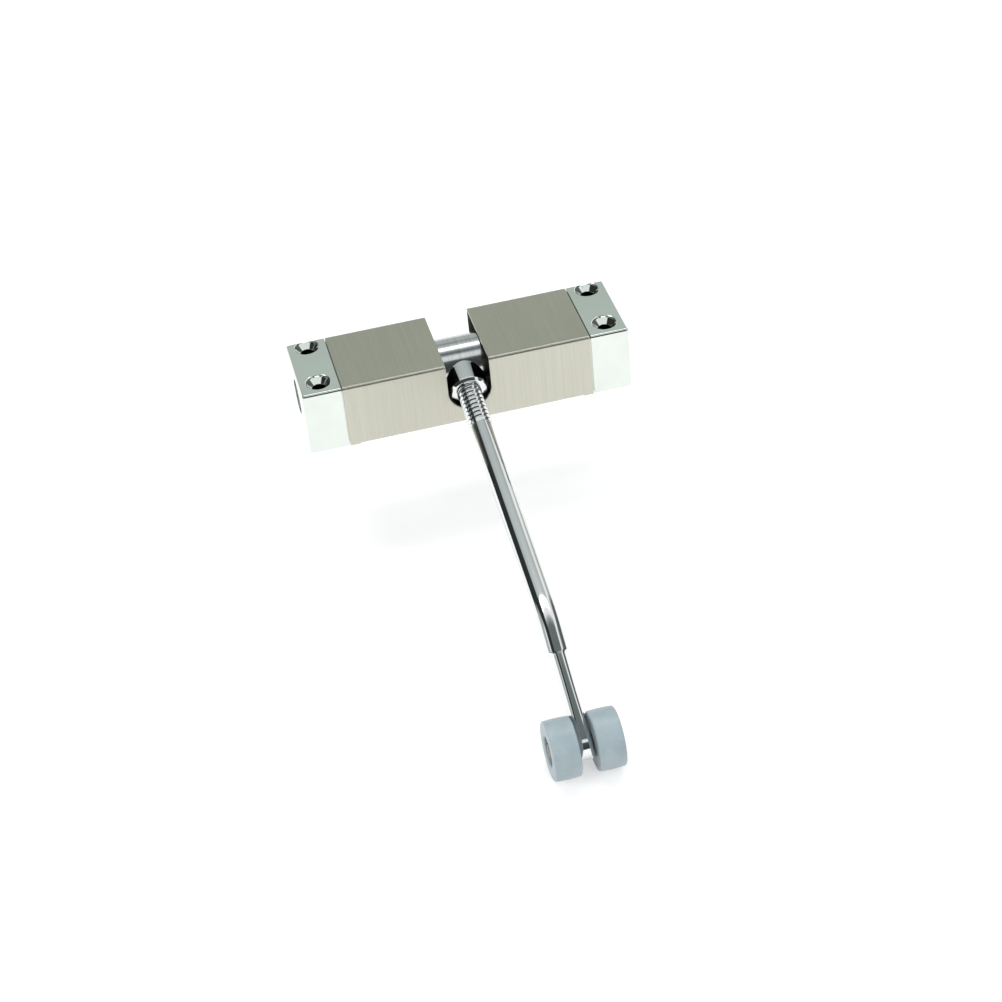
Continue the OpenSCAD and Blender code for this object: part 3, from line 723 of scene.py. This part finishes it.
def rod_piece():
    """Arm drawn as one skin round its centre line. Round stretches are circles, the screw thread adds a
    ridge whose phase advances one turn per pitch, and past the shoulder the section becomes a
    superellipse, x = a |cos|^p and n = b |sin|^p, that ends in a round eye about the axle."""
    tangent = BEND_RADIUS * math.tan(BEND_ANGLE / 2)
    arc_less = 2 * tangent - BEND_RADIUS * BEND_ANGLE
    bend_s = BEND_AT - arc_less / 2
    end = BEND_AT + LEG - arc_less
    thread_from, thread_to = COLLAR_END - THREAD_HIDDEN, COLLAR_END + THREAD_LENGTH
    shoulder = bend_s + BLADE_FROM
    tip = end + EYE_RADIUS
    s = np.concatenate([
        [-ROD_BACK], np.linspace(-6.6, thread_from, 6),
        np.linspace(thread_from, thread_to + 1, 190)[1:], np.linspace(thread_to + 1, bend_s - 5, 40)[1:],
        np.linspace(bend_s - 5, bend_s + 5, 26)[1:], np.linspace(bend_s + 5, shoulder - 0.8, 8)[1:],
        np.linspace(shoulder - 0.8, shoulder + 1.6, 26)[1:], np.linspace(shoulder + 1.6, end, 34)[1:],
        end + EYE_RADIUS * np.sin(np.linspace(0, math.pi / 2, 26))[1:-1], [tip - 0.003]])
    t = np.linspace(0, 2 * math.pi, 112, endpoint=False)
    centre, normal = rod_path(s)
    s, t = s[:, None], t[None]
    # screw thread with a rounded crest, fading in at the collar and running out at its end
    phase = np.mod((s - thread_from) / THREAD_PITCH - t / (2 * math.pi), 1)
    ridge = (0.5 + 0.5 * np.cos(2 * math.pi * phase)) ** 0.75
    fade = 1 - smooth_step(s, thread_to - THREAD_RUN_OUT, thread_to + 0.3)
    in_thread = (s >= thread_from) * fade
    rise = THREAD_RADIUS - ROD_RADIUS - THREAD_DEPTH * (1 - ridge)
    round_radius = np.where(s < thread_from, THREAD_RADIUS - THREAD_DEPTH, ROD_RADIUS + in_thread * rise)
    round_radius = np.where(s < 0.2 - ROD_BACK, round_radius - 0.3, round_radius)
    # flattened end
    flat = smooth_step(s, shoulder - 0.1, shoulder + 1.0)
    to_eye = np.clip((s - shoulder) / (end - shoulder), 0, 1)
    half_high = ROD_RADIUS + (EYE_RADIUS - ROD_RADIUS) * to_eye ** 0.9
    past = np.clip(s - end, 0, EYE_RADIUS)
    half_high = np.where(s > end, np.sqrt(np.maximum(EYE_RADIUS ** 2 - past ** 2, 0)), half_high)
    a = round_radius + (BLADE_HALF - ROD_RADIUS) * flat
    b = round_radius + (half_high - round_radius) * flat
    soft = np.minimum(1, half_high / (BLADE_HALF * 1.2))
    p = 1 - flat * soft * (SQUARE_AT_ROOT + SQUARE_TO_EYE * to_eye ** 2)
    c, d = np.cos(t), np.sin(t)
    x = a * np.sign(c) * np.abs(c) ** p
    n = b * np.sign(d) * np.abs(d) ** p
    points = centre[:, None] + x[..., None] * np.array([1.0, 0, 0]) + n[..., None] * normal[:, None]
    piece = new_object("arm_forged", Shape().lofted(points), 0.0002)
    return finished(piece, "arm", ["arm_rod"], ROD_CHROME, 50)


# ---- rollers and axle ----


def roller_piece(name, node, body, side):
    """Moulded roller: a slightly crowned tread with rounded edges, an inner face set back between its
    hub and its rim, and a recess round the pin in the outer face."""
    r, low, high = ROLLER_RADIUS, ROLLER_IN, ROLLER_OUT
    bore = AXLE_RADIUS + RUN_GAP
    floor = high - RECESS_DEPTH
    line = [(bore, low + 0.02), (bore + HUB_WIDTH, low), (bore + HUB_WIDTH + 0.15, low + FACE_RELIEF),
            (r - RIM_WIDTH - 0.15, low + FACE_RELIEF), (r - RIM_WIDTH, low), (r - CROWN, low),
            (r, (low + high) / 2), (r - CROWN, high),
            (RECESS_RADIUS + 0.35, high), (RECESS_RADIUS, high - 0.35), (RECESS_RADIUS - 0.05, floor),
            (bore, floor), (bore, (low + floor) / 2)]
    radii = (0.05, 0.05, 0.05, 0.05, 0.5, 30, 0.55, 0.15, 0.15, 0.2, 0.1)
    profile = rounded_line(line, radii, 7)
    profile = np.concatenate([profile, profile[:1]])
    shape = Shape().grid(turned(profile, (0, AXLE[1], AXLE[2]), (side, 0, 0), 144), wrap=True)
    piece = new_object(name, shape)
    return finished(piece, body, [node], NYLON, 40)


def axle_piece():
    """Turned pin with a groove for each clip and slightly domed, chamfered ends."""
    groove = AXLE_RADIUS - PIN_GROOVE
    near = corner("right_axle_clip", 0)[0] - RUN_GAP
    far = corner("right_axle_clip", 1)[0] + RUN_GAP
    half = [(0, AXLE_HALF), (1.45, AXLE_HALF - 0.03), (AXLE_RADIUS, AXLE_HALF - PIN_CHAMFER),
            (AXLE_RADIUS, far), (groove, far), (groove, near), (AXLE_RADIUS, near)]
    line = half + [(r, -x) for r, x in half[::-1]]
    radii = (0.4, 0.2, 0.05, 0, 0, 0, 0, 0, 0, 0.05, 0.2, 0.4)
    profile = rounded_line(line, radii, 4)
    shape = Shape().grid(turned(profile, (0, *AXLE[1:]), (1, 0, 0), 72), wrap=True)
    piece = new_object("axle_turned", shape)
    return finished(piece, "arm", ["roller_axle"], AXLE_STEEL, 35)


def clip_piece(name, node, side):
    """Open retaining ring: an outer arc and an inner arc with three seats that grip the groove, closed
    round a gap below."""
    low, high = corner(node, 0), corner(node, 1)
    outer = np.full(90, (high[1] - low[1]) / 2 - TRIM)
    seats = CLIP_GAP, math.pi, 2 * math.pi - CLIP_GAP
    t = np.linspace(seats[0], seats[-1], len(outer))
    grip = np.maximum.reduce([np.exp(-((t - at) / 0.3) ** 2) for at in seats])
    inner = CLIP_RELIEF + (CLIP_SEAT - CLIP_RELIEF) * np.clip(grip * 1.4, 0, 1)
    ray = np.stack([np.zeros_like(t), np.sin(t), -np.cos(t)], -1)
    x0, x1 = sorted((abs(low[0]), abs(high[0])))
    section = [(inner, x0), (inner, x1), (outer - CLIP_EDGE, x1), (outer, x1 - CLIP_EDGE),
               (outer, x0 + CLIP_EDGE), (outer - CLIP_EDGE, x0)]
    rows = np.array([np.array([side * x, AXLE[1], AXLE[2]]) + r[:, None] * ray for r, x in section])
    piece = new_object(name, Shape().lofted(rows.transpose(1, 0, 2)))
    return finished(piece, "arm", [node], BLACK_STEEL, 35)


cover_piece()
end_cap("left_cap_cast", "left_end_cap", -1)
end_cap("right_cap_cast", "right_end_cap", 1)
spindle_piece()
spring_pieces("left", "left_torsion_spring", -1, ("housing",))
spring_pieces("right", "right_torsion_spring", 1, ("housing", "adjuster"))
collar_piece()
rod_piece()
roller_piece("left_roller_moulded", "left_roller", "left_roller", -1)
roller_piece("right_roller_moulded", "right_roller", "right_roller", 1)
axle_piece()
clip_piece("left_clip_pressed", "left_axle_clip", -1)
clip_piece("right_clip_pressed", "right_axle_clip", 1)

KEPT = {
    "base_plate": ZINC, "left_cap_screws": ZINC, "right_cap_screws": ZINC, "spring_anchor": ZINC,
    "tension_adjuster": ZINC, "adjuster_lock_screw": BLACK_STEEL, "left_bush": BRONZE, "right_bush": BRONZE,
    "left_axle_washer": BLACK_STEEL, "right_axle_washer": BLACK_STEEL,
}
for kept_name, kept_material in KEPT.items():
    kept = NODES[kept_name]
    kept.data.materials.clear()
    kept.data.materials.append(kept_material)

# ---- studio ----


def studio_floor():
    """Pale sweep: a flat floor that curves up far behind the object."""
    low = min(CAD_BOX[0][2], 0) / MM - 0.4
    front, back, sweep = -900, 1500, 500
    turn = np.linspace(0, math.pi / 2, 16)[1:]
    run = np.concatenate([np.linspace(front, back, 12), back + sweep * np.sin(turn)])
    rise = np.concatenate([np.zeros(12), sweep * (1 - np.cos(turn))])
    across = np.linspace(-1800, 1800, 9)
    y, x = np.meshgrid(run, across, indexing="ij")
    points = np.stack([x, y, low + np.broadcast_to(rise[:, None], x.shape)], -1)
    floor = new_object("floor_sweep", Shape().grid(points))
    floor.data.polygons.foreach_set("use_smooth", np.ones(len(floor.data.polygons), bool))
    pale = Finish("pale_floor", (0.6, 0.6, 0.6), 0.0, 0.85)
    pale.set("Emission Color", (1, 1, 1, 1)).set("Emission Strength", 0.42)
    floor.data.materials.append(pale.material)


def put(holder, right, up, back, place):
    """Stands a lamp or the camera at a place, looking away from back, and adds it to the scene."""
    rows = [[right[i], up[i], back[i], place[i]] for i in range(3)]
    holder.matrix_world = Matrix([*rows, [0, 0, 0, 1]])
    bpy.context.scene.collection.objects.link(holder)


def lamp(name, place, aim, size, power, mirrored_in_metal=True):
    """Rectangular soft light aimed at a point; places in metres."""
    light = bpy.data.lights.new(name, "AREA")
    light.shape = "RECTANGLE"
    light.size, light.size_y = size
    light.energy = power
    holder = bpy.data.objects.new(name, light)
    holder.visible_glossy = mirrored_in_metal
    back = np.array(place, float) - np.array(aim, float)
    back /= np.linalg.norm(back)
    right = np.cross((0, 0, 1), back)
    right /= np.linalg.norm(right)
    put(holder, right, np.cross(back, right), back, place)


def studio_air():
    """Surroundings seen in the bright metal. Bands run over the object from back to front: a grey
    backdrop with a darker strip, a bright ceiling strip, a dark gap, a second bright strip, then the
    dark room in front. A black flag stands on the left, a white card on the right with a dark room
    past it, and all is white below the horizon."""
    world = bpy.data.worlds.new("studio_air")
    world.use_nodes = True
    bpy.context.scene.world = world
    g = Graph(world.node_tree)
    way = g.node("ShaderNodeTexCoord", out="Generated")
    x, y, z = (g.node("ShaderNodeSeparateXYZ", None, {0: way}, out=axis) for axis in "XYZ")
    turn = g.node("ShaderNodeMath", {"operation": "ARCTAN2"}, {0: z, 1: y}) * (180 / math.pi)
    stops = [
        (0.0, (0.20, 0.20, 0.19)), (0.02, (0.45, 0.46, 0.43)), (0.05, (0.52, 0.54, 0.50)),
        (0.15, (0.52, 0.56, 0.52)), (0.195, (0.54, 0.60, 0.57)), (0.235, (0.40, 0.45, 0.43)),
        (0.27, (0.30, 0.34, 0.33)), (0.30, (0.46, 0.51, 0.50)), (0.345, (0.58, 0.63, 0.62)),
        (0.372, (0.70, 0.75, 0.74)), (0.385, (1, 1, 1)), (0.47, (1, 1, 1)),
        (0.495, (0.44, 0.48, 0.48)), (0.53, (0.17, 0.19, 0.19)), (0.58, (0.15, 0.17, 0.17)),
        (0.61, (0.62, 0.67, 0.67)), (0.63, (0.92, 0.95, 0.95)), (0.715, (0.92, 0.95, 0.95)),
        (0.74, (0.08, 0.09, 0.09)), (0.98, (0.04, 0.04, 0.04)), (1.0, (0.3, 0.3, 0.3))]
    bands = g.node("ShaderNodeValToRGB", {"stops": stops}, {"Fac": turn * (1 / 180)})
    flag = g.scaled(x, -0.56, -0.50, 1, 0) * g.scaled(x, -0.88, -0.82, 0, 1)
    card = g.scaled(x, 0.56, 0.60) * g.scaled(x, 0.74, 0.77, 1, 0)
    edge = g.scaled(x, 0.80, 0.84)
    seen = g.blend(flag, bands, (0.03, 0.035, 0.035))
    seen = g.blend(card, seen, (1.0, 1.0, 1.0))
    seen = g.blend(edge, seen, (0.12, 0.13, 0.13))
    low = g.scaled(z, -0.02, 0.0, 1, 0)
    seen = g.blend(low, seen, (1, 1, 1))
    back = g.tree.nodes["Background"]
    g.feed(back.inputs["Color"], seen)
    back.inputs["Strength"].default_value = 1.0


def camera():
    """Camera above and in front of the body, slightly to the left, with a small roll."""
    data = bpy.data.cameras.new("camera")
    data.sensor_width = 36
    data.lens = 81.63
    data.clip_start, data.clip_end = 0.01, 20
    holder = bpy.data.objects.new("camera", data)
    right = np.array([0.966985, -0.241007, -0.082793])
    up = np.array([0.212115, 0.581168, 0.785653])
    back = -np.array([0.141231, 0.777277, -0.613102])
    place = np.array([-0.090317, -0.541808, 0.384732])
    put(holder, right, up, back, place)
    bpy.context.scene.camera = holder


studio_floor()
studio_air()
lamp("ceiling_strip", (0.0, 0.31, 1.25), (0, -0.03, 0), (1.6, 0.30), 2.5)
lamp("ceiling_fill", (0.0, 0.31, 1.3), (0, -0.03, 0), (1.6, 0.5), 7, mirrored_in_metal=False)
lamp("fill_left", (-1.2, -0.5, 0.8), (0, -0.05, 0), (0.8, 0.8), 12, mirrored_in_metal=False)
lamp("fill_front", (0.4, -1.4, 0.9), (0, -0.05, 0), (1.2, 0.8), 14, mirrored_in_metal=False)
camera()
bpy.context.scene.view_settings.view_transform = "Standard"
